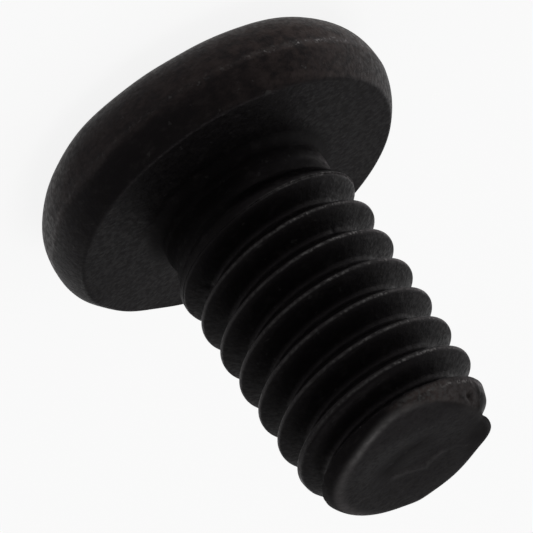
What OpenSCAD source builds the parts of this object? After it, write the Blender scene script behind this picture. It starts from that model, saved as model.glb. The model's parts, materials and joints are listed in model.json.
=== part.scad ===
// Machine screw with a low domed head, standing on its head.
// The flat top of the head lies on Z = 0 and the thread points up.

/* [Thread] */
// Diameter over the thread crests
thread_d = 3.87; // [3.4:0.01:4.4]
// Distance between neighbouring crests
pitch = 0.7; // [0.5:0.01:0.8]
// Angle between the two flanks of a groove
flank_angle = 60; // [50:1:65]
// Angle around the axis at which the groove leaves the neck
thread_start = 217; // [0:1:360]
// Turns over which the groove runs out at the neck
runout_turns = 0.64; // [0.2:0.01:1]

/* [Shank] */
// Length from the bearing face to the end face
shank_len = 6.5; // [5:0.01:12]
// Length of the plain neck under the head
neck_len = 0.74; // [0.5:0.01:1.5]
// Radius of the fillet between the neck and the bearing face
neck_fillet = 0.25; // [0.1:0.01:0.4]
// Length of the rise from the neck to the thread's diameter
neck_rise = 0.18; // [0.05:0.01:0.4]
// Length over which the end of the thread rounds off
tip_len = 1.42; // [0.4:0.01:1.8]
// Amount by which the radius falls from the thread to the end face
tip_inset = 0.51; // [0.1:0.01:0.6]
// Diameter of the shallow hollow in the end face
dish_d = 2.3; // [1:0.01:2.6]
// Depth of the shallow hollow in the end face
dish_depth = 0.07; // [0.02:0.01:0.2]

/* [Head] */
// Largest diameter of the head, at its rim
head_d = 7.2; // [6.6:0.01:9]
// Height of the head from the bearing face to its flat top
head_h = 1.8; // [1.7:0.01:3]
// Height of the rim above the bearing face
rim_h = 0.65; // [0.3:0.01:0.9]
// Amount by which the radius grows from the bearing face to the rim
rim_flare = 0.32; // [0.1:0.01:0.6]
// Amount by which the flared side bulges outwards
side_bulge = 0.05; // [0:0.01:0.08]
// Radius that softens the edge of the bearing face
bearing_edge_r = 0.12; // [0.04:0.01:0.2]
// Diameter of the flat on top of the dome
land_d = 4.56; // [3.6:0.01:5]
// Fullness of the dome's shoulder: 2 is an ellipse, more is squarer
dome_power = 2.5; // [1.8:0.1:3]

/* [Socket] */
// Size across the flats of the hexagon socket
hex_af = 2.5; // [2:0.01:2.8]
// Depth of the socket's flats
hex_depth = 1.3; // [0.8:0.01:1.4]
// Full angle of the cone at the socket's bottom
hex_point_angle = 120; // [110:1:150]
// Width of the bevel at the socket's mouth
hex_bevel = 0.08; // [0.02:0.01:0.15]

/* [Hidden] */
$fn = 96;

// Steps in each curve: a turn of the groove, the tip, the dome, the flared side and a small round
groove_steps = 44;
tip_steps = 7;
dome_steps = 12;
side_steps = 5;
round_steps = 4;
// Overlap that lets a cut pass cleanly through a face
cut_over = 0.01;

// Proportions of a metric thread, as shares of the pitch
crest_share = 1 / 8;
root_share = 1 / 6;
blank_share = 0.6495;

thread_r = thread_d / 2;
neck_r = (thread_d - blank_share * pitch) / 2;
flank_slope = tan(flank_angle / 2);
groove_depth = pitch * (1 - crest_share - root_share) / (2 * flank_slope);
root_r = thread_r - groove_depth;
// The groove's section reaches past the crests, but stays clear of its own next turn
groove_over = pitch * crest_share / (4 * flank_slope);
tip_r = thread_r - tip_inset;

head_r = head_d / 2;
bearing_r = head_r - rim_flare;
land_r = land_d / 2;
hex_r = hex_af / sqrt(3);
hex_cone_h = hex_af / 2 / tan(hex_point_angle / 2);

// Heights above the flat top of the head
rim_z = head_h - rim_h;
bearing_z = head_h;
neck_z = bearing_z + neck_len;
end_z = bearing_z + shank_len;

function arc(centre, radius, from, to) =
    [for (i = [0:round_steps])
        let (angle = from + (to - from) * i / round_steps)
        centre + radius * [cos(angle), sin(angle)]];

// Half outline of the dome, from the flat top to the rim
function dome_outline() =
    [for (i = [dome_steps:-1:0])
        let (t = 90 * i / dome_steps)
        [land_r + (head_r - land_r) * pow(cos(t), 2 / dome_power),
         rim_z * (1 - pow(sin(t), 2 / dome_power))]];

// The flared side is a curve from the rim to the corner of the bearing face, drawn towards side_pull
rim_corner = [head_r, rim_z];
bearing_corner = [bearing_r, bearing_z];
side_pull = (rim_corner + bearing_corner) / 2
    + 2 * side_bulge * [rim_h, rim_flare] / norm([rim_h, rim_flare]);

function head_side() =
    [for (i = [1:side_steps - 1])
        let (t = i / side_steps)
        (1 - t) ^ 2 * rim_corner + 2 * t * (1 - t) * side_pull + t ^ 2 * bearing_corner];

// The flared side turns into the flat bearing face
function bearing_edge() =
    let (slope = bearing_corner - side_pull,
         flare = atan2(slope.y, -slope.x),
         centre = bearing_corner - bearing_edge_r * [tan(flare / 2), 1])
    arc(centre, bearing_edge_r, 90 - flare, 90);

function neck_outline() =
    concat(arc([neck_r + neck_fillet, bearing_z + neck_fillet], neck_fillet, 270, 180),
           [[neck_r, neck_z], [thread_r, neck_z + neck_rise]]);

// Half outline of the rounded end, from the thread's diameter to the end face
function tip_outline() =
    [for (i = [0:tip_steps])
        let (t = 90 * i / tip_steps)
        [tip_r + tip_inset * cos(t), end_z - tip_len * (1 - sin(t))]];

// The headed and pointed piece of steel, before the thread and the socket are made
module blank() {
    rotate_extrude()
        polygon(concat([[0, 0]],
                       dome_outline(),
                       head_side(),
                       bearing_edge(),
                       neck_outline(),
                       tip_outline(),
                       [[dish_d / 2, end_z], [0, end_z - dish_depth]]));
}

// Section of the groove at one step: two points at the root and two beyond the crests
function groove_section(lift, z) =
    let (inner = root_r + lift,
         outer = thread_r + groove_over + lift,
         inner_half = pitch * root_share / 2,
         outer_half = inner_half + (outer - inner) * flank_slope)
    [[inner, z - inner_half], [outer, z - outer_half], [outer, z + outer_half], [inner, z + inner_half]];

// Right-handed helical groove, which rises out of the steel towards the neck
module thread_groove() {
    steps = ceil((shank_len - neck_len + pitch) / pitch * groove_steps);
    points = [for (i = [0:steps])
        let (turn = i / groove_steps,
             angle = thread_start + 360 * turn,
             lift = groove_depth * max(0, 1 - turn / runout_turns))
        for (corner = groove_section(lift, neck_z + pitch * turn))
            [corner.x * cos(angle), corner.x * sin(angle), corner.y]];
    sides = [for (i = [0:steps - 1], j = [0:3])
        let (a = 4 * i + j, b = 4 * i + (j + 1) % 4)
        for (face = [[a, b, a + 4], [b, b + 4, a + 4]])
            face];
    last = 4 * steps;
    ends = [[3, 2, 1, 0], [last, last + 1, last + 2, last + 3]];
    polyhedron(points, concat(sides, ends));
}

// Hexagon with a conical bottom and a bevelled mouth, open at the flat top of the head
module hex_socket() {
    translate([0, 0, -cut_over])
        cylinder(r = hex_r, h = hex_depth + cut_over, $fn = 6);
    translate([0, 0, hex_depth])
        cylinder(r1 = hex_af / 2, r2 = 0, h = hex_cone_h);
    translate([0, 0, -cut_over])
        cylinder(r1 = hex_r + hex_bevel + cut_over, r2 = hex_r - hex_bevel, h = 2 * hex_bevel + cut_over);
}

module screw() {
    color("#2b2826")
        difference() {
            blank();
            thread_groove();
            hex_socket();
        }
}

screw();
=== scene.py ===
"""Looks of the machine screw: a fine mesh of the worn screw, its black finish, floor, lamps and camera."""
import json
from math import atan2, cos, pi, radians, sin, sqrt, tan

import bpy
import numpy as np
from mathutils import Matrix, Vector


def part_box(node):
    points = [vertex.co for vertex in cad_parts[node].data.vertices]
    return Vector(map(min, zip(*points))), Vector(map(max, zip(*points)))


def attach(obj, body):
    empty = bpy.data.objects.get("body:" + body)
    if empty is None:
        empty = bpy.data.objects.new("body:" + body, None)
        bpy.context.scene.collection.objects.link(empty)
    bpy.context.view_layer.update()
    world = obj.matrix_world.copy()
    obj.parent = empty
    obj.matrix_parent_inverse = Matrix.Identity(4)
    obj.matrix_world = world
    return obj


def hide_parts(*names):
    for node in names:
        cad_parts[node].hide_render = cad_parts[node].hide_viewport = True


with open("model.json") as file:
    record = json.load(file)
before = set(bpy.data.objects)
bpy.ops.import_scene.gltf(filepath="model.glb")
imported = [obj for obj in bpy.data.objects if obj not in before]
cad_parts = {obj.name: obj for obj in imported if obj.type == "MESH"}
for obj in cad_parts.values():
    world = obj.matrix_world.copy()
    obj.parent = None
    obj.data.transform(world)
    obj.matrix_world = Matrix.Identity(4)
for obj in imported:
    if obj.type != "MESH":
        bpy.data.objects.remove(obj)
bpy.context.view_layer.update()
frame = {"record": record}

MM = 0.001
mounts = {mount["name"]: mount for mount in frame["record"]["mounts"]}
high_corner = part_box("screw")[1]

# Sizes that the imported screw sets, in millimetres
HEAD_R = high_corner.x / MM
END_Z = high_corner.z / MM
BEARING_Z = mounts["bearing_face"]["pos_m"][2] / MM
THREAD_R = mounts["thread"]["dims"]["r_mm"]
NECK_LEN = END_Z - BEARING_Z - mounts["thread"]["dims"]["length_mm"]

# Thread: sizes in millimetres, the start in degrees round the axis, the lift in groove depths
PITCH = 0.7
FLANK = radians(30)
ROUND_TURN = pi / 2 - FLANK
CREST_FLAT = PITCH / 8
ROOT_FLAT = PITCH / 6
CREST_ROUND = 0.066
ROOT_ROUND = 0.095
THREAD_START = 217
RUNOUT_TURNS = 0.64
RUNOUT_LIFT = 2
LAST_CREST_TURNS = 7.5
GROOVE_DEPTH = (PITCH - CREST_FLAT - ROOT_FLAT) / (2 * tan(FLANK))
ROOT_R = THREAD_R - GROOVE_DEPTH

# Shank: heights are above the bearing face. The blank is thinner than the thread by a share of the pitch, and
# the blends round the meeting of groove and blank.
BLANK_SHARE = 0.6495
NECK_R = THREAD_R - BLANK_SHARE * PITCH / 2
NECK_FILLET = 0.2
NECK_SWELL = 0.025
NECK_RISE = 0.3
TIP_LEN = 1.42
TIP_INSET = 0.51
TIP_R = THREAD_R - TIP_INSET
BLEND = 0.03
RUNOUT_BLEND = 0.12

# The end face was sheared off at a slight slope, and is hollow in the middle
END_SLOPE_X = -0.022
END_SLOPE_Y = 0.051
END_DROP = 0.087
END_MIDDLE = END_Z - BEARING_Z - END_DROP
END_ROUND = 0.09
DISH_DEPTH = 0.12
DISH_FADE = (0.15, 0.95)
# Its edge is rolled down on one side: place and width in degrees round the axis, the radii where the roll
# begins and where it has its depth, and how many times that far its curve may run
ROLL_SPOT = (254, 36)
ROLL_FROM = 0.7
ROLL_TO = 1.62
ROLL_DEPTH = 0.17
ROLL_LIMIT = 2
# Marks on the end face, as points (x, y) along each: a raised crease and a scratch, with height and width
CREASE = ((0.42, 0.22), (0.09, 0.39), (-0.15, 0.52), (-0.22, 0.45), (-0.53, 0.31))
CREASE_HEIGHT = 0.024
SCRATCH = ((0.45, -0.15), (0.05, -0.31), (-0.35, -0.37))
SCRATCH_HEIGHT = -0.008
MARK_WIDTH = 0.08

# Where the shearing pushed the last turn of the groove shut: two turns, and distances below the end face.
# A turn is a place round the axis and two angles from it, in degrees, between which something grows to 1.
SHUT_START = (190, -4, 6)
SHUT_STOP = (254, 10, -10)
SHUT_BELOW = (0.55, 0.4)
SHUT_SHARE = 0.85
# The lip that the shearing left. A spot is a place round the axis and a width, in degrees.
LIP_SPOT = (156, 13)
LIP_OUT = 0.09
LIP_UP = 0.02
# Uneven places of the sheared edge: spot and amount outwards, and distances below the end where they grow
UNEVEN = ((128, 18, -0.03), (80, 9, 0.05), (345, 22, 0.03), (178, 5, -0.05))
UNEVEN_BELOW = (0.3, 0.05)

# Head and socket
RIM_H = 0.65
RIM_Z = BEARING_Z - RIM_H
RIM_FLARE = 0.32
SIDE_BULGE = 0.05
BEARING_ROUND = 0.12
LAND_R = 2.28
DOME_POWER = 2.5
HEAD_LEAN_X = 0.0026
HEAD_LEAN_Y = 0.0099
LEAN_FROM_Z = 0.1
LEAN_INSET = 0.6
LEAN_TO_R = HEAD_R - LEAN_INSET
HEX_AF = 2.5
HEX_DEPTH = 1.3
HEX_BEVEL = 0.08
HEX_CONE_HALF_ANGLE = radians(60)
HEX_CONE = HEX_AF / 2 / tan(HEX_CONE_HALF_ANGLE)
HEX_MOUTH_R = HEX_AF / sqrt(3) + HEX_BEVEL

# Small dents, or swellings where the depth is below zero: degrees round the axis, radius, height above the
# bearing face, width and depth
DENTS = (
    (204, 1.68, 6.21, 0.08, 0.08),
    (262, 3.30, -1.50, 0.50, 0.02),
    (338, 3.59, -0.87, 0.70, 0.05),
    (42, 3.25, 0.00, 0.60, 0.035),
    (7, 3.43, -0.19, 0.50, -0.05),
    (302, 3.42, -1.35, 0.80, -0.05),
    (224, 3.52, -1.20, 0.80, -0.04),
    (167, 2.52, 0.00, 0.05, 0.03),
    (198, 1.75, 1.90, 0.05, 0.03),
    (223, 1.51, 2.14, 0.05, 0.03),
    (230, 1.92, 5.30, 0.05, 0.03),
    (264, 1.92, 1.85, 0.06, 0.02),
    (271, 1.93, 2.59, 0.06, 0.02),
    (329, 1.52, 1.61, 0.06, 0.03),
)

# Columns of the mesh around the axis; the end of the thread has twice as many
COLUMNS = 240
AZIMUTH = np.arange(COLUMNS) * 2 * pi / COLUMNS
TIP_AZIMUTH = np.arange(2 * COLUMNS) * pi / COLUMNS
# Rows of the mesh: of the head, as shares of a length, counts or degrees along a curve
CONE_SHARES = (0.25, 0.5, 0.75, 0.98)
WALL_SHARES = (0, 0.01, 0.5, 0.99, 1)
LAND_STEPS = 3
DOME_DEGREES = (*np.linspace(90, 3.5, 26), 2, 1)
SIDE_SHARES = np.linspace(0, 0.86, 14)
BEARING_ROUND_STEPS = 6
BEARING_STEPS = 14
FILLET_DEGREES = (270, 195)
FILLET_STEPS = 8
SWELL_SHARES = np.linspace(0, 1, 9)
# Of the thread: points on its rounds and shares of its flanks, and the helical strip's ends and turns
CREST_ROWS = 5
ROOT_ROWS = 3
FLANK_SHARES = (0.33, 0.67)
STRIP_FROM = 0.55
STRIP_TO = 5.55
STRIP_TURNS = 12
STRIP_TURNS_BELOW = 2
RING_GAP = 0.006
SHOULDER_DROP = 0.02
# Of the end: rays from the axis point at a guide line, and the surface is sought between two shares of them
GUIDE_OUT = 0.2
GUIDE_ROUND = 0.25
GUIDE_DROP = 0.12
GUIDE_SIDE_SHARES = np.linspace(0, 1, 31)
GUIDE_ROUND_STEPS = 14
GUIDE_FACE_STEPS = 34
RAY_NEAR = 0.3
RAY_FAR = 1.6
RAY_HALVINGS = 30
SHARP_ANGLE = radians(55)


def smooth_min(a, b, width):
    """The smaller of two fields, with a rounded change from one to the other."""
    h = np.clip(0.5 + 0.5 * (b - a) / width, 0, 1)
    return b + (a - b) * h - width * h * (1 - h)


def smooth_step(x, start, stop):
    """From 0 at the start to 1 at the stop, with soft ends."""
    t = np.clip((x - start) / (stop - start), 0, 1)
    return t * t * (3 - 2 * t)


def mix(a, b, share):
    return a + (b - a) * share


def bell(x, width):
    """From 1 where x is 0 to 0 away from there."""
    return np.exp(-(x / width) ** 2)


def degrees_from(azimuth, place):
    """Degrees round the axis from a place, between -180 and 180."""
    return np.mod(np.degrees(azimuth) - place + 180, 360) - 180


def turn_step(azimuth, place, start, stop):
    """From 0 to 1 between two angles from a place round the axis, in degrees."""
    return smooth_step(degrees_from(azimuth, place), start, stop)


def turn_bell(azimuth, place, width):
    """From 1 at a place round the axis to 0 away from it, in degrees."""
    return bell(degrees_from(azimuth, place), width)


def half_profile():
    """Half a thread, from crest to groove bottom, as points (distance from the crest's middle, radius)."""
    crest_flat = CREST_FLAT / 2 - CREST_ROUND * tan(ROUND_TURN / 2)
    root_flat = ROOT_FLAT / 2 - ROOT_ROUND * tan(ROUND_TURN / 2)
    points = [(0, THREAD_R)]
    for a in np.linspace(0, ROUND_TURN, CREST_ROWS):
        points.append((crest_flat + CREST_ROUND * sin(a), THREAD_R - CREST_ROUND * (1 - cos(a))))
    bottom = []
    for a in np.linspace(ROUND_TURN, 0, ROOT_ROWS):
        bottom.append((PITCH / 2 - root_flat - ROOT_ROUND * sin(a), ROOT_R + ROOT_ROUND * (1 - cos(a))))
    (x0, r0), (x1, r1) = points[-1], bottom[0]
    points += [(mix(x0, x1, s), mix(r0, r1, s)) for s in FLANK_SHARES]
    return points + bottom + [(PITCH / 2, ROOT_R)]


PROFILE = half_profile()
PROFILE_X = np.array([x for x, r in PROFILE])
PROFILE_DEPTH = np.array([THREAD_R - r for x, r in PROFILE])
# Rows of the thread's mesh over one pitch, from one crest to the next
THREAD_ROWS = np.concatenate([PROFILE_X, PITCH - PROFILE_X[-2:0:-1]])


def groove_turns(azimuth, height):
    """Turns along the groove's helix, counted from the neck, at a place beside it."""
    around = (np.degrees(azimuth) - THREAD_START) / 360
    nearest = np.round((height - NECK_LEN) / PITCH - around)
    return nearest + around


def from_groove(azimuth, height):
    """Distance along the axis from the middle of the groove."""
    return np.abs(height - NECK_LEN - PITCH * groove_turns(azimuth, height))


def shut_share(azimuth, height):
    """How far the groove is pushed shut near the end face, from 0 to 1."""
    inside = turn_step(azimuth, *SHUT_START) * turn_step(azimuth, *SHUT_STOP)
    return SHUT_SHARE * inside * smooth_step(END_MIDDLE - height, *SHUT_BELOW)


def groove_radius(azimuth, height):
    """Radius of the threaded surface, with the groove's run-out at the neck and its shut end."""
    turns = groove_turns(azimuth, height)
    depth = np.interp(PITCH / 2 - from_groove(azimuth, height), PROFILE_X, PROFILE_DEPTH)
    runout = np.clip(1 - turns / RUNOUT_TURNS, 0, RUNOUT_LIFT)
    return THREAD_R - depth + GROOVE_DEPTH * (runout + shut_share(azimuth, height))


def near_line(points, azimuth, radius, width=MARK_WIDTH):
    """From 1 on a line of points (x, y) to 0 away from it."""
    x, y = radius * np.cos(azimuth), radius * np.sin(azimuth)
    away = np.full(np.shape(x), np.inf)
    for (x0, y0), (x1, y1) in zip(points, points[1:]):
        dx, dy = x1 - x0, y1 - y0
        along = np.clip(((x - x0) * dx + (y - y0) * dy) / (dx * dx + dy * dy), 0, 1)
        away = np.minimum(away, np.hypot(x - x0 - along * dx, y - y0 - along * dy))
    return bell(away, width)


def end_height(azimuth, radius):
    """Height of the sloping end face with its lip, before its hollow."""
    slope = END_SLOPE_X * np.cos(azimuth) + END_SLOPE_Y * np.sin(azimuth)
    return END_MIDDLE + radius * (slope + LIP_UP / TIP_R * turn_bell(azimuth, *LIP_SPOT))


def face_height(azimuth, radius):
    """Height of the end face, with its hollow, its rolled edge and its marks."""
    hollow = DISH_DEPTH * smooth_step(1 - radius / TIP_R, *DISH_FADE)
    along = np.clip((radius - ROLL_FROM) / (ROLL_TO - ROLL_FROM), 0, ROLL_LIMIT)
    roll = ROLL_DEPTH * turn_bell(azimuth, *ROLL_SPOT) * along ** 2
    marks = CREASE_HEIGHT * near_line(CREASE, azimuth, radius)
    marks = marks + SCRATCH_HEIGHT * near_line(SCRATCH, azimuth, radius)
    return end_height(azimuth, radius) - hollow - roll + marks


def edge_out(azimuth):
    """How far the sheared edge stands out: its lip and its uneven places."""
    out = LIP_OUT * turn_bell(azimuth, *LIP_SPOT)
    for place, width, amount in UNEVEN:
        out = out + amount * turn_bell(azimuth, place, width)
    return out


def blank_radius(azimuth, height):
    """Radius of the plain blank: the neck, the rise to the thread and the rounded end."""
    rise = smooth_step(height, NECK_LEN, NECK_LEN + NECK_RISE)
    below = end_height(azimuth, TIP_R) - height
    along = np.clip((TIP_LEN - below) / TIP_LEN, 0, 1)
    tip = TIP_INSET * (1 - np.sqrt(1 - along ** 2))
    return mix(NECK_R, THREAD_R, rise) - tip + edge_out(azimuth) * smooth_step(below, *UNEVEN_BELOW)


def shank_radius(azimuth, height):
    """Radius of the neck and thread: the groove cuts the blank, more softly in its first turn."""
    blend = BLEND + RUNOUT_BLEND * smooth_step(height, NECK_LEN + PITCH, NECK_LEN)
    return smooth_min(blank_radius(azimuth, height), groove_radius(azimuth, height), blend)


class Skin:
    """Points and faces of one closed surface, gathered row by row around the axis."""

    def __init__(self):
        self.points = []
        self.faces = []
        self.count = 0

    def add(self, radius, azimuth, z):
        radius, azimuth, z = np.broadcast_arrays(radius, azimuth, z)
        self.points.append(np.stack([radius * np.cos(azimuth), radius * np.sin(azimuth), z], axis=-1))
        first = self.count
        self.count += len(radius)
        return list(range(first, self.count))

    def pole(self, z):
        return self.add(np.zeros(1), np.zeros(1), np.array([z]))[0]

    def rings(self, rows, azimuth):
        """Joins rows given as (radius, z), and returns the first and last ring."""
        rings = [self.add(radius, azimuth, z) for radius, z in rows]
        for lower, upper in zip(rings, rings[1:]):
            for i in range(len(lower)):
                self.faces.append((lower[i - 1], lower[i], upper[i], upper[i - 1]))
        return rings[0], rings[-1]

    def split(self, lower, upper):
        """Joins a ring to the next one, which has twice as many points."""
        for i in range(len(lower)):
            self.faces.append((lower[i - 1], lower[i], upper[2 * i], upper[2 * i - 1], upper[2 * i - 2]))

    def cap(self, ring, pole, up):
        for i in range(len(ring)):
            self.faces.append((ring[i - 1], ring[i], pole) if up else (ring[i], ring[i - 1], pole))


def arc(centre_r, centre_z, radius, start, stop, steps):
    """Rows along an arc, with both ends; angles in degrees."""
    return [(centre_r + radius * cos(a), centre_z + radius * sin(a))
            for a in np.radians(np.linspace(start, stop, steps + 1))]


def line(start, stop, steps):
    """Rows between two others, without the ends."""
    (r0, z0), (r1, z1) = start, stop
    return [(mix(r0, r1, s), mix(z0, z1, s)) for s in np.linspace(0, 1, steps + 1)[1:-1]]


def socket_rows():
    """From the socket's conical bottom to its bevelled mouth on the flat top of the head."""
    from_flat = np.mod(AZIMUTH, pi / 3) - pi / 6
    wall_r = HEX_AF / 2 / np.cos(from_flat)
    bevel_z = HEX_MOUTH_R - wall_r
    cone = [(HEX_AF / 2 * s, HEX_DEPTH + HEX_CONE * (1 - s)) for s in CONE_SHARES]
    wall = [(wall_r, mix(HEX_DEPTH, bevel_z, s)) for s in WALL_SHARES]
    return cone + wall + [(HEX_MOUTH_R, 0)]


def dome_rows():
    """From the flat top of the head over the dome to just above the rim."""
    rows = line((HEX_MOUTH_R, 0), (LAND_R, 0), LAND_STEPS)
    for t in np.radians(DOME_DEGREES):
        rows.append((mix(LAND_R, HEAD_R, abs(cos(t)) ** (2 / DOME_POWER)),
                     RIM_Z * (1 - sin(t) ** (2 / DOME_POWER))))
    return rows


def side_rows():
    """From the rim down the bulging flared side and over the edge of the bearing face."""
    rim = Vector((HEAD_R, RIM_Z))
    corner = Vector((HEAD_R - RIM_FLARE, BEARING_Z))
    out = Vector((RIM_H, RIM_FLARE)).normalized()
    pull = (rim + corner) / 2 + 2 * SIDE_BULGE * out
    side = [tuple((1 - t) ** 2 * rim + 2 * t * (1 - t) * pull + t * t * corner) for t in SIDE_SHARES]
    flare = atan2(corner.y - pull.y, pull.x - corner.x)
    edge = arc(corner.x - BEARING_ROUND * tan(flare / 2), corner.y - BEARING_ROUND,
               BEARING_ROUND, 90 - np.degrees(flare), 90, BEARING_ROUND_STEPS)
    return side + edge


def bearing_rows(edge):
    """Across the bearing face, round the fillet and along the plain neck, which swells a little."""
    fillet = arc(NECK_R + NECK_FILLET, BEARING_Z + NECK_FILLET, NECK_FILLET, *FILLET_DEGREES, FILLET_STEPS)
    swell = [(NECK_R + NECK_SWELL * sin(pi * s), BEARING_Z + mix(NECK_FILLET, STRIP_FROM, s))
             for s in SWELL_SHARES]
    return line(edge, fillet[0], BEARING_STEPS) + fillet + swell


def leaning(radius, z):
    """Height of a place on the head, whose rim and bearing face lean a little to one side."""
    lean = radius * (HEAD_LEAN_X * np.cos(AZIMUTH) + HEAD_LEAN_Y * np.sin(AZIMUTH))
    lean = lean * smooth_step(z, LEAN_FROM_Z, RIM_Z)
    return z + lean * smooth_step(radius, NECK_R + NECK_FILLET, LEAN_TO_R)


def head_rows():
    side = side_rows()
    outside = dome_rows() + side + bearing_rows(side[-1])
    return socket_rows() + [(radius, leaning(radius, z)) for radius, z in outside]


def thread_strip(skin, bottom, top):
    """Joins two rings by rows that follow the thread's helix, cut off where they meet the rings."""
    rows = len(THREAD_ROWS)
    first_crest = NECK_LEN + PITCH * (0.5 - THREAD_START / 360) - STRIP_TURNS_BELOW * PITCH
    index = np.arange(rows * STRIP_TURNS)
    height = first_crest + PITCH * (index // rows) + THREAD_ROWS[index % rows]
    columns = []
    for i in range(COLUMNS):
        h = height + PITCH * i / COLUMNS
        keep = np.flatnonzero((h > STRIP_FROM + RING_GAP) & (h < STRIP_TO - RING_GAP))
        ids = skin.add(shank_radius(AZIMUTH[i], h[keep]), AZIMUTH[i], BEARING_Z + h[keep])
        columns.append(dict(zip(keep.tolist(), ids)))
    for i in range(COLUMNS):
        k = (i + 1) % COLUMNS
        # The last column joins the first one a whole turn further along the helix
        shift = 0 if k else rows
        a = columns[i]
        b = {q - shift: v for q, v in columns[k].items()}
        # Both columns have the rows from c0 to c1; the rows beyond these end at the rings
        a0, a1, b0, b1 = min(a), max(a), min(b), max(b)
        c0, c1 = max(a0, b0), min(a1, b1)
        skin.faces.append((bottom[i], bottom[k], *[b[q] for q in range(b0, c0 + 1)],
                           *[a[q] for q in range(c0, a0 - 1, -1)]))
        for q in range(c0, c1):
            skin.faces.append((a[q], b[q], b[q + 1], a[q + 1]))
        skin.faces.append((*[b[q] for q in range(c1, b1 + 1)], top[k], top[i],
                           *[a[q] for q in range(a1, c1 - 1, -1)]))


def tip_field(radius, height):
    """Below zero inside the steel at the end of the thread, above zero outside."""
    beside = radius - shank_radius(TIP_AZIMUTH, height)
    above = height - face_height(TIP_AZIMUTH, radius)
    return -smooth_min(-beside, -above, END_ROUND)


def tip_guide():
    """Where the rays point: up beside the end, round its edge and in over its face, as (radius, height)."""
    side_h = END_MIDDLE - STRIP_TO - GUIDE_DROP
    out_r = TIP_R + GUIDE_OUT
    round_r = out_r - GUIDE_ROUND
    top_h = side_h + GUIDE_ROUND
    side = [(out_r, side_h * s) for s in GUIDE_SIDE_SHARES]
    edge = arc(round_r, side_h, GUIDE_ROUND, 0, 90, GUIDE_ROUND_STEPS)[1:]
    return side + edge + line((round_r, top_h), (0, top_h), GUIDE_FACE_STEPS)


def tip_rows():
    """From the helical strip over the rounded edge and across the end face, found along rays."""
    rows = []
    for r, h in tip_guide():
        near, far = np.full(2 * COLUMNS, RAY_NEAR), np.full(2 * COLUMNS, RAY_FAR)
        for _ in range(RAY_HALVINGS):
            middle = (near + far) / 2
            outside = tip_field(r * middle, STRIP_TO + h * middle) > 0
            near = np.where(outside, near, middle)
            far = np.where(outside, middle, far)
        rows.append((r * near, BEARING_Z + STRIP_TO + h * near))
    return rows


def point_values(values, name):
    """One row of three numbers for each point of a mesh."""
    numbers = np.empty(len(values) * 3)
    values.foreach_get(name, numbers)
    return numbers.reshape(-1, 3)


def press_dents(mesh):
    """Pushes the mesh in at each dent, along its own normals, and keeps it inside the screw's box."""
    place = point_values(mesh.vertices, "co")
    normal = point_values(mesh.vertex_normals, "vector")
    push = np.zeros(len(place))
    for degrees, radius, height, width, depth in DENTS:
        a = radians(degrees)
        centre = np.array([radius * cos(a), radius * sin(a), BEARING_Z + height]) * MM
        away = np.linalg.norm(place - centre, axis=1)
        push += depth * MM * bell(away, width * MM)
    place = place - normal * push[:, None]
    radius = np.hypot(place[:, 0], place[:, 1])
    place[:, :2] *= np.minimum(1, HEAD_R * MM / np.maximum(radius, MM))[:, None]
    place[:, 2] = np.clip(place[:, 2], 0, END_Z * MM)
    mesh.vertices.foreach_set("co", place.ravel())
    mesh.update()


# Where the finish is marked, with painted highlights and painted shade among the marks. A fade is two
# values between which a mark grows from 0 to 1: most often heights above the bearing face, distances from
# a crest or below the end face, or radii. Shares are the strengths of a mark where a turn, spot or fade is 0
# and where it is 1.
CREST_FADE = (0.045, 0.005)
CREST_BELOW = (0.2, 0.4)
# The crests are marked more on the lit side, as painted highlight: a turn and its shares
CREST_HIGHLIGHT_TURN = (270, 60, -50)
CREST_HIGHLIGHT_SHARES = (0.3, 0.8)
SHUT_CREST_SHARES = (1, 0.2)
FORMED_FADE = (1.3, 1.7)
FORMED_EARLY = 0.9
FORMED_EARLY_TURN = (265, 20, -25)
NICKED_TURN = (260, 20, -30)
SHUT_FADE = (0.1, 0.5)
SHUT_RADII = (1.45, 1.6)
LATE_TURN = (225, -15, 20)
BAND_START = (195, -10, 5)
BAND_STOP = (262, 8, -14)
BAND_FADE = (-0.13, -0.05)
BAND_FROM = 5
LAST_FLANK_BELOW = (0.5, 0.3)
FACE_FADE = (-0.05, -0.01)
FACE_RADII = (1.75, 1.6)
STREAK_WIDTH = 0.3
FAR_EDGE_RADII = (0.9, 1.3)
FAR_EDGE_SPOT = (155, 28)
END_EDGE_WIDTH = 0.055
# The lit side of the end face's edge, where a highlight is painted, and its fainter ends
LIT_EDGE_MIDDLE = 295
LIT_EDGE_AWAY = (125, 90)
LIT_EDGE_LEFT = (320, 10, -30)
LIT_EDGE_LEFT_SHARES = (0.7, 1)
LIT_EDGE_BAND = (240, -15, 25)
LIT_EDGE_BAND_SHARES = (0.25, 1)
HEAD_FADE = (-0.02, -0.1)
HEAD_RADII = (1.6, 2.6)
DOME_FADE = (0.15 - RIM_H, -0.05 - RIM_H)
# The head's worn, lit side, where brown also paints a highlight, and the right of the dome, where it paints a
# reflection
WORN_AND_LIT_SIDE_SPOT = (218, 36)
RIGHT_DOME_REFLECTION_SPOT = (185, 30)
RIM_LINE_AT = -0.07 - RIM_H
RIM_LINE_WIDTH = 0.04
RIM_LINE_SPOT = (220, 20)
RIM_LINE_SHARES = (0.1, 1)
# The neck's lit side, where a highlight is painted
NECK_FROM = (0.2, 0.35)
NECK_TO = (0.8, 0.6)
NECK_SPOT = (188, 12)
# Painted shade in the corner of neck and bearing face, lighter where the neck is lit
CORNER_WIDTH = 0.3
CORNER_FROM = (-0.05, 0)
CORNER_TO = (0.8, 0.4)
CORNER_BRIGHT_FADE = (0.15, 0.3)
CORNER_BRIGHT_TURN = (210, 15, -5)
CORNER_BRIGHT_SHARES = (1, 0.1)
FIRST_TURN_FROM = 0.4
FIRST_TURN_FADE = (1.6, 1.1)
FIRST_TURN_TURN = (255, -10, 30)


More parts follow.
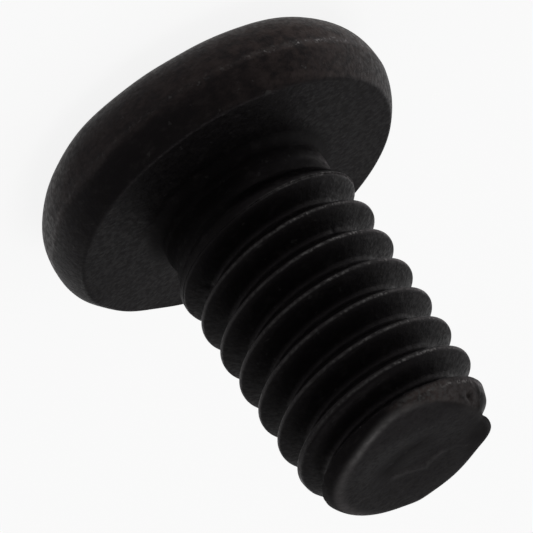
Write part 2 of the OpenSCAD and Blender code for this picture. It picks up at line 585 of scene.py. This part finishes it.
class Places:
    """Where the points of a mesh lie, in millimetres: round the axis, from it, and from the screw's faces."""

    def __init__(self, mesh):
        x, y, z = point_values(mesh.vertices, "co").T / MM
        self.azimuth = np.arctan2(y, x)
        self.radius = np.hypot(x, y)
        self.height = z - BEARING_Z
        self.below_end = end_height(self.azimuth, self.radius) - self.height
        self.above_face = self.height - face_height(self.azimuth, self.radius)
        self.outside = self.radius - shank_radius(self.azimuth, self.height)


def crest(at):
    """The crests from where the thread is formed to near the end, more on the lit side as painted highlight.
    """
    early = (at.height > FORMED_EARLY) * turn_step(at.azimuth, *FORMED_EARLY_TURN)
    formed = np.maximum(smooth_step(at.height, *FORMED_FADE), early)
    share = mix(*CREST_HIGHLIGHT_SHARES, turn_step(at.azimuth, *CREST_HIGHLIGHT_TURN))
    on_crest = smooth_step(PITCH / 2 - from_groove(at.azimuth, at.height), *CREST_FADE)
    return on_crest * formed * share * smooth_step(at.below_end, *CREST_BELOW)


def end_face(at):
    return smooth_step(at.above_face, *FACE_FADE) * smooth_step(at.radius, *FACE_RADII)


def shut_end(at):
    """The place where the groove's end is pushed shut."""
    return smooth_step(shut_share(at.azimuth, at.height), *SHUT_FADE) * smooth_step(at.radius, *SHUT_RADII)


def early_shut_end(at):
    return shut_end(at) * (1 - turn_step(at.azimuth, *LATE_TURN))


def crest_wear_and_highlight(at):
    """Worn crests with a painted highlight, less where the groove is pushed shut."""
    return crest(at) * (1 - end_face(at)) * mix(*SHUT_CREST_SHARES, shut_end(at))


def nicked_crest(at):
    return crest(at) * (1 - end_face(at)) * turn_step(at.azimuth, *NICKED_TURN)


def band(at):
    """The band beside the end face, past the last crest, where the groove is pushed shut."""
    turns = LAST_CREST_TURNS + (np.degrees(at.azimuth) % 360 - THREAD_START) / 360
    past_crest = at.height - NECK_LEN - PITCH * turns
    around = turn_step(at.azimuth, *BAND_START) * turn_step(at.azimuth, *BAND_STOP)
    return around * smooth_step(past_crest, *BAND_FADE) * (1 - end_face(at)) * (at.height > BAND_FROM)


def late_band(at):
    return band(at) * turn_step(at.azimuth, *LATE_TURN)


def end_edge(at):
    return bell(np.hypot(at.outside, at.above_face), END_EDGE_WIDTH)


def lit_end_edge(at):
    """Painted highlight on the lit side of the end face's edge, which is fainter at both its ends."""
    side = smooth_step(np.abs(degrees_from(at.azimuth, LIT_EDGE_MIDDLE)), *LIT_EDGE_AWAY)
    left = mix(*LIT_EDGE_LEFT_SHARES, turn_step(at.azimuth, *LIT_EDGE_LEFT))
    beside_band = mix(*LIT_EDGE_BAND_SHARES, turn_step(at.azimuth, *LIT_EDGE_BAND))
    return end_edge(at) * side * left * beside_band


# Painted shade on the rest of the end face's edge, where it curves away from the light
def shaded_end_edge(at):
    return end_edge(at) - lit_end_edge(at)


def last_flank_shade(at):
    """Painted shade on the thread's last flank, below the edge of the end face."""
    flank = smooth_step(at.below_end, *LAST_FLANK_BELOW)
    return flank * (1 - end_face(at)) * (1 - end_edge(at)) * (1 - band(at))


def crease(at):
    return end_face(at) * near_line(CREASE, at.azimuth, at.radius)


def streak(at):
    """The shade along the scratch on the end face."""
    return end_face(at) * near_line(SCRATCH, at.azimuth, at.radius, STREAK_WIDTH)


def far_edge(at):
    """The end face near its lip."""
    return end_face(at) * smooth_step(at.radius, *FAR_EDGE_RADII) * turn_bell(at.azimuth, *FAR_EDGE_SPOT)


def head(at):
    """The head's outside: the flared side and the dome."""
    return smooth_step(at.height, *HEAD_FADE) * smooth_step(at.radius, *HEAD_RADII)


def dome(at):
    return head(at) * smooth_step(at.height, *DOME_FADE)


# Brown worn coat on one side of the head, with a painted highlight where the lamps light it
def worn_and_lit_head(at):
    return head(at) * turn_bell(at.azimuth, *WORN_AND_LIT_SIDE_SPOT)


def worn_and_lit_dome(at):
    return dome(at) * turn_bell(at.azimuth, *WORN_AND_LIT_SIDE_SPOT)


# Painted reflection, in brown, along the right of the dome
def right_dome_reflection(at):
    return dome(at) * turn_bell(at.azimuth, *RIGHT_DOME_REFLECTION_SPOT)


def shaded_side(at):
    """Painted shade on the flared side of the head, away from its worn, lit part."""
    return (head(at) - dome(at)) * (1 - turn_bell(at.azimuth, *WORN_AND_LIT_SIDE_SPOT))


def rim_line(at):
    """A thin line on the dome just above the rim: worn, nicked and a painted highlight."""
    share = mix(*RIM_LINE_SHARES, turn_bell(at.azimuth, *RIM_LINE_SPOT))
    return head(at) * share * bell(at.height - RIM_LINE_AT, RIM_LINE_WIDTH)


# Painted highlight on the neck's lit side, with worn specks
def neck_highlight_and_wear(at):
    along = smooth_step(at.height, *NECK_FROM) * smooth_step(at.height, *NECK_TO)
    return along * turn_bell(at.azimuth, *NECK_SPOT)


def neck_corner_shade(at):
    """Painted shade in the corner of neck and bearing face, lighter on the neck's lit side."""
    along = smooth_step(at.height, *CORNER_FROM) * smooth_step(at.height, *CORNER_TO)
    bright = smooth_step(at.height, *CORNER_BRIGHT_FADE) * turn_step(at.azimuth, *CORNER_BRIGHT_TURN)
    return bell(at.radius - NECK_R, CORNER_WIDTH) * along * mix(*CORNER_BRIGHT_SHARES, bright)


def first_turn_shade(at):
    """Painted shade on one side of the groove's first turn, without its crest."""
    along = smooth_step(at.height, *FIRST_TURN_FADE) * (at.height > FIRST_TURN_FROM)
    return along * turn_step(at.azimuth, *FIRST_TURN_TURN) * (1 - crest(at))


# The marks of the finish, painted highlights and painted shade among them, and the places that make up each
# one, with how strongly
MARKS = {
    "wear": ((crest_wear_and_highlight, 1), (rim_line, 0.8), (band, 0.35), (late_band, 0.45), (crease, 0.3),
             (neck_highlight_and_wear, 0.8)),
    "rubbed": ((lit_end_edge, 1),),
    "brown": ((worn_and_lit_head, 0.65), (dome, 0.24), (worn_and_lit_dome, 0.15), (right_dome_reflection, 0.4), (band, 0.35),
              (late_band, 1.05)),
    "dull": ((neck_corner_shade, 0.6), (first_turn_shade, 0.6), (shaded_side, 0.3), (early_shut_end, 0.5),
             (last_flank_shade, 0.6), (end_face, 0.25), (streak, 0.3), (far_edge, 0.3), (shaded_end_edge, 0.1)),
    "nicked": ((rim_line, 1), (nicked_crest, 0.7), (neck_highlight_and_wear, 0.3)),
}


def mark_finish(mesh):
    """Stores on each point how strong each mark of the finish is there, from 0 to 1."""
    places = Places(mesh)
    for name, parts in MARKS.items():
        strength = sum(share * part(places) for part, share in parts)
        values = np.clip(strength, 0, 1).astype(np.float32)
        mesh.attributes.new(name, "FLOAT", "POINT").data.foreach_set("value", values)


def screw_mesh():
    skin = Skin()
    first, neck = skin.rings(head_rows(), AZIMUTH)
    skin.cap(first, skin.pole(HEX_DEPTH + HEX_CONE), False)
    start, end = skin.rings(tip_rows(), TIP_AZIMUTH)
    skin.cap(end, skin.pole(BEARING_Z + END_MIDDLE - DISH_DEPTH), True)
    shoulder_h = STRIP_TO - SHOULDER_DROP
    shoulder = skin.add(shank_radius(AZIMUTH, shoulder_h), AZIMUTH, BEARING_Z + shoulder_h)
    skin.split(shoulder, start)
    thread_strip(skin, neck, shoulder)
    mesh = bpy.data.meshes.new("screw_skin")
    mesh.from_pydata((np.concatenate(skin.points) * MM).tolist(), [], skin.faces)
    mesh.validate()
    mark_finish(mesh)
    press_dents(mesh)
    mesh.shade_smooth()
    mesh.set_sharp_from_angle(angle=SHARP_ANGLE)
    return mesh


def add_node(tree, kind, **settings):
    """Adds a shader node; settings in capitals are its sockets, the others its own properties."""
    node = tree.nodes.new("ShaderNode" + kind)
    for name, value in settings.items():
        if name[0].isupper():
            node.inputs[name.replace("_", " ")].default_value = value
        else:
            setattr(node, name, value)
    return node


def noise_at(tree, per_mm, detail, roughness=0.5, flatten=1):
    """Noise that is fixed to the screw: grains per millimetre, fine detail, and flattening along the axis."""
    place = add_node(tree, "TexCoord")
    stretch = add_node(tree, "Mapping", Scale=(1, 1, flatten))
    texture = add_node(tree, "TexNoise", Scale=per_mm / MM, Detail=detail, Roughness=roughness)
    tree.links.new(place.outputs["Object"], stretch.inputs["Vector"])
    tree.links.new(stretch.outputs["Vector"], texture.inputs["Vector"])
    return texture.outputs["Fac"]


def mark(tree, name):
    return add_node(tree, "Attribute", attribute_name=name).outputs["Fac"]


def spread(tree, value, from_low, from_high, to_low, to_high):
    """Turns one range of values into another, with soft ends."""
    node = add_node(tree, "MapRange", From_Min=from_low, From_Max=from_high, To_Min=to_low, To_Max=to_high)
    node.interpolation_type = "SMOOTHSTEP"
    tree.links.new(value, node.inputs["Value"])
    return node.outputs["Result"]


def combine(tree, operation, a, b):
    node = add_node(tree, "Math", operation=operation)
    tree.links.new(a, node.inputs[0])
    tree.links.new(b, node.inputs[1])
    return node.outputs["Value"]


def times(tree, a, b):
    return combine(tree, "MULTIPLY", a, b)


def larger(tree, a, b):
    return combine(tree, "MAXIMUM", a, b)


# Sockets of Blender's mix node for colours, which share their names with its other sockets
MIX_UNDER = 6
MIX_OVER = 7
MIX_RESULT = 2


def blend_colour(tree, share, under, over):
    """Colour mix: under may be a colour or another node's colour."""
    node = add_node(tree, "Mix", data_type="RGBA")
    tree.links.new(share, node.inputs["Factor"])
    if isinstance(under, tuple):
        node.inputs[MIX_UNDER].default_value = under
    else:
        tree.links.new(under, node.inputs[MIX_UNDER])
    node.inputs[MIX_OVER].default_value = over
    return node.outputs[MIX_RESULT]


def bumped(tree, height, distance_mm, strength, under=None):
    node = add_node(tree, "Bump", Strength=strength, Distance=distance_mm * MM)
    tree.links.new(height, node.inputs["Height"])
    if under:
        tree.links.new(under, node.inputs["Normal"])
    return node.outputs["Normal"]


# Colours of the coat, of what shows through it and of the dust on it. The darker colour also paints shade,
# and the brown, worn and steel colours also paint highlights and a reflection.
BLACK = (0.0032, 0.0027, 0.0030, 1)
DULL_AND_SHADE_COLOUR = (0.0012, 0.0010, 0.0011, 1)
BROWN = (0.047, 0.034, 0.0305, 1)
DUST = (0.022, 0.020, 0.020, 1)
WORN_AND_HIGHLIGHT = (0.068, 0.066, 0.0655, 1)
STEEL_AND_HIGHLIGHT = (0.19, 0.183, 0.18, 1)
SHEEN_TINT = (1, 0.9, 0.94, 1)
GLOSS = 0.1
# Noises: grains per millimetre and detail, then roughness and flattening where they aren't the usual ones
MOTTLE = (5, 4)
GRAIN = (14, 6, 0.6)
SPECKLE = (12, 5)
BLOTCH = (3.5, 8, 0.68, 1.8)
FLECKS = (6, 3)
NICKS = (15, 4)
# Spreads: from the lowest and highest of a noise or mark, to the lowest and highest of what it is used for
THIN_SPREAD = (0.32, 0.68, 0.1, 1)
DUST_SPREAD = (0.5, 0.74, 0, 0.35)
BROKEN_SPREAD = (0.4, 0.62, 0.15, 1)
EDGE_HIGHLIGHT_SPREAD = (0.3, 0.7, 0.7, 1)
EDGE_HIGHLIGHT_STEEL_SPREAD = (0, 1, 0, 0.12)
FLECK_SPREAD = (0.67, 0.73, 0, 0.7)
FLECK_BROWN_SPREAD = (0, 0.6, 0.3, 1)
NICK_SPREAD = (0.5, 0.6, 0, 1)
NICK_PATCH_SPREAD = (0.44, 0.56, 0.1, 1)
COAT_ROUGH_SPREAD = (0.34, 0.66, 0.42, 0.6)
DULL_ROUGH_SPREAD = (0, 1, 0.4, 0.95)
# Bumps: height in millimetres, and strength
MOTTLE_BUMP = (0.03, 0.42)
GRAIN_BUMP = (0.024, 0.26)


def bare_steel_and_highlight(tree, mottle, speckle, brown):
    """Shares of uncoated steel, which also paints highlights: all of it, the bright nicks, and the painted
    highlight on the lit side of the end face's edge.
    """
    broken_and_highlight = times(tree, mark(tree, "wear"), spread(tree, speckle, *BROKEN_SPREAD))
    rubbed = times(tree, mark(tree, "rubbed"), spread(tree, mottle, *EDGE_HIGHLIGHT_SPREAD))
    flecks = times(tree, spread(tree, noise_at(tree, *FLECKS), *FLECK_SPREAD),
                   spread(tree, brown, *FLECK_BROWN_SPREAD))
    nicks = times(tree, mark(tree, "nicked"), spread(tree, noise_at(tree, *NICKS), *NICK_SPREAD))
    nicks = times(tree, nicks, spread(tree, mottle, *NICK_PATCH_SPREAD))
    bare_and_highlight = larger(tree, larger(tree, broken_and_highlight, rubbed), larger(tree, flecks, nicks))
    return bare_and_highlight, nicks, rubbed


def black_oxide():
    """Blackened steel: near black, darker and matt in places, brown where the coat is thin, uncoated and
    brighter on worn edges. The darker places are partly painted shade; brown and uncoated steel also paint
    highlights.
    """
    material = bpy.data.materials.new("black_oxide")
    material.use_nodes = True
    tree = material.node_tree
    shader = tree.nodes["Principled BSDF"]
    mottle = noise_at(tree, *MOTTLE)
    speckle = noise_at(tree, *SPECKLE)
    blotch = noise_at(tree, *BLOTCH)
    brown = mark(tree, "brown")
    dull = mark(tree, "dull")
    bare_and_highlight, nicks, rubbed = bare_steel_and_highlight(tree, mottle, speckle, brown)
    colour = blend_colour(tree, dull, BLACK, DULL_AND_SHADE_COLOUR)
    colour = blend_colour(tree, times(tree, brown, spread(tree, blotch, *THIN_SPREAD)), colour, BROWN)
    colour = blend_colour(tree, spread(tree, blotch, *DUST_SPREAD), colour, DUST)
    colour = blend_colour(tree, bare_and_highlight, colour, WORN_AND_HIGHLIGHT)
    colour = blend_colour(tree, nicks, colour, STEEL_AND_HIGHLIGHT)
    colour = blend_colour(tree, spread(tree, rubbed, *EDGE_HIGHLIGHT_STEEL_SPREAD), colour, STEEL_AND_HIGHLIGHT)
    rough = larger(tree, spread(tree, speckle, *COAT_ROUGH_SPREAD), spread(tree, dull, *DULL_ROUGH_SPREAD))
    normal = bumped(tree, mottle, *MOTTLE_BUMP)
    normal = bumped(tree, noise_at(tree, *GRAIN), *GRAIN_BUMP, normal)
    tree.links.new(colour, shader.inputs["Base Color"])
    tree.links.new(rough, shader.inputs["Roughness"])
    tree.links.new(bare_and_highlight, shader.inputs["Metallic"])
    tree.links.new(normal, shader.inputs["Normal"])
    shader.inputs["Specular Tint"].default_value = SHEEN_TINT
    shader.inputs["Specular IOR Level"].default_value = GLOSS
    return material


screw = bpy.data.objects.new("worn_screw", screw_mesh())
bpy.context.scene.collection.objects.link(screw)
screw.data.materials.append(black_oxide())
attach(screw, "root")
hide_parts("screw")

# Studio, in metres: a white paper floor that keeps a faint shadow, soft lamps and a pale surrounding
FLOOR_SIZE = 0.8
FLOOR_GAP = 0.00001
FLOOR_CORNERS = ((-1, -1), (1, -1), (1, 1), (-1, 1))
PAPER = (0.9, 0.9, 0.9, 1)
GLOW_SHARE = 0.88
WHITE = (1, 1, 1, 1)
FILL = 0.3
LAMP_DISTANCE = 0.25
# Lamps: direction round the axis and above the floor, the angles that they fill, in degrees, and radiance
LAMPS = (
    ("side_lamp", 155, 14, 66, 36, 1.2),
    ("top_lamp", 90, 78, 36, 36, 2.3),
    ("left_lamp", 30, 15, 48, 36, 0.3),
    ("far_lamp", 95, 32, 40, 30, 0.3),
)


def white_paper():
    """Diffuse paper that looks near white to the camera and in reflections, whatever light falls on it."""
    material = bpy.data.materials.new("white_paper")
    material.use_nodes = True
    tree = material.node_tree
    tree.nodes.remove(tree.nodes["Principled BSDF"])
    paper = add_node(tree, "BsdfDiffuse", Color=PAPER)
    glow = add_node(tree, "Emission", Strength=1)
    path = add_node(tree, "LightPath")
    seen = larger(tree, path.outputs["Is Camera Ray"], path.outputs["Is Glossy Ray"])
    seen = larger(tree, seen, path.outputs["Is Transmission Ray"])
    both = add_node(tree, "MixShader")
    tree.links.new(spread(tree, seen, 0, 1, 0, GLOW_SHARE), both.inputs["Fac"])
    tree.links.new(paper.outputs["BSDF"], both.inputs[1])
    tree.links.new(glow.outputs["Emission"], both.inputs[2])
    tree.links.new(both.outputs["Shader"], tree.nodes["Material Output"].inputs["Surface"])
    return material


def make_floor():
    mesh = bpy.data.meshes.new("floor")
    half = FLOOR_SIZE / 2
    mesh.from_pydata([(x * half, y * half, 0) for x, y in FLOOR_CORNERS], [], [(0, 1, 2, 3)])
    mesh.materials.append(white_paper())
    floor = bpy.data.objects.new("floor", mesh)
    floor.location.z = -FLOOR_GAP
    bpy.context.scene.collection.objects.link(floor)
    return floor


def soft_lamp(name, azimuth, elevation, width, height, radiance):
    """Flat lamp that faces the middle of the screw."""
    data = bpy.data.lights.new(name, "AREA")
    data.shape = "RECTANGLE"
    data.size = 2 * LAMP_DISTANCE * tan(radians(width / 2))
    data.size_y = 2 * LAMP_DISTANCE * tan(radians(height / 2))
    data.energy = radiance * pi * data.size * data.size_y
    lamp = bpy.data.objects.new(name, data)
    a, e = radians(azimuth), radians(elevation)
    away = Vector((cos(e) * cos(a), cos(e) * sin(a), sin(e)))
    lamp.rotation_euler = away.to_track_quat("Z", "Y").to_euler()
    lamp.location = away * LAMP_DISTANCE + Vector((0, 0, END_Z / 2 * MM))
    bpy.context.scene.collection.objects.link(lamp)


def make_world():
    world = bpy.data.worlds.new("studio")
    world.use_nodes = True
    background = world.node_tree.nodes["Background"]
    background.inputs["Color"].default_value = WHITE
    background.inputs["Strength"].default_value = FILL
    return world


floor = make_floor()
for lamp in LAMPS:
    soft_lamp(*lamp)
bpy.context.scene.world = make_world()

# Camera, at the photo's viewing angle: it looks down on the thread's end, which points to the lower right
CAMERA_ELEVATION = radians(25.14)
AXIS_IN_PICTURE = radians(33.32)
CAMERA_DISTANCE = 166.0 * MM
FOCAL_PIXELS = 8954.5
PICTURE_PIXELS = 533
CLIP_START = 0.01
CLIP_END = 5
# Where the middle of the bearing face lies in the picture, from its centre, in pixels right and down
BEARING_RIGHT = -28.5
BEARING_DOWN = -69.6


def make_camera():
    data = bpy.data.cameras.new("camera")
    camera = bpy.data.objects.new("camera", data)
    bpy.context.scene.collection.objects.link(camera)
    forward = Vector((0, cos(CAMERA_ELEVATION), -sin(CAMERA_ELEVATION)))
    level = Vector((1, 0, 0))
    upright = Vector((0, sin(CAMERA_ELEVATION), cos(CAMERA_ELEVATION)))
    right = -cos(AXIS_IN_PICTURE) * level + sin(AXIS_IN_PICTURE) * upright
    down = sin(AXIS_IN_PICTURE) * level + cos(AXIS_IN_PICTURE) * upright
    place = Vector((0, 0, BEARING_Z * MM)) - forward * CAMERA_DISTANCE
    aim = (forward - (right * BEARING_RIGHT + down * BEARING_DOWN) / FOCAL_PIXELS).normalized()
    right = (right - right.dot(aim) * aim).normalized()
    turn = Matrix((right, right.cross(aim), -aim)).transposed()
    camera.matrix_world = Matrix.Translation(place) @ turn.to_4x4()
    data.lens = data.sensor_width * FOCAL_PIXELS / PICTURE_PIXELS
    data.clip_start = CLIP_START
    data.clip_end = CLIP_END
    return camera


bpy.context.scene.camera = make_camera()
bpy.context.scene.view_settings.view_transform = "Standard"
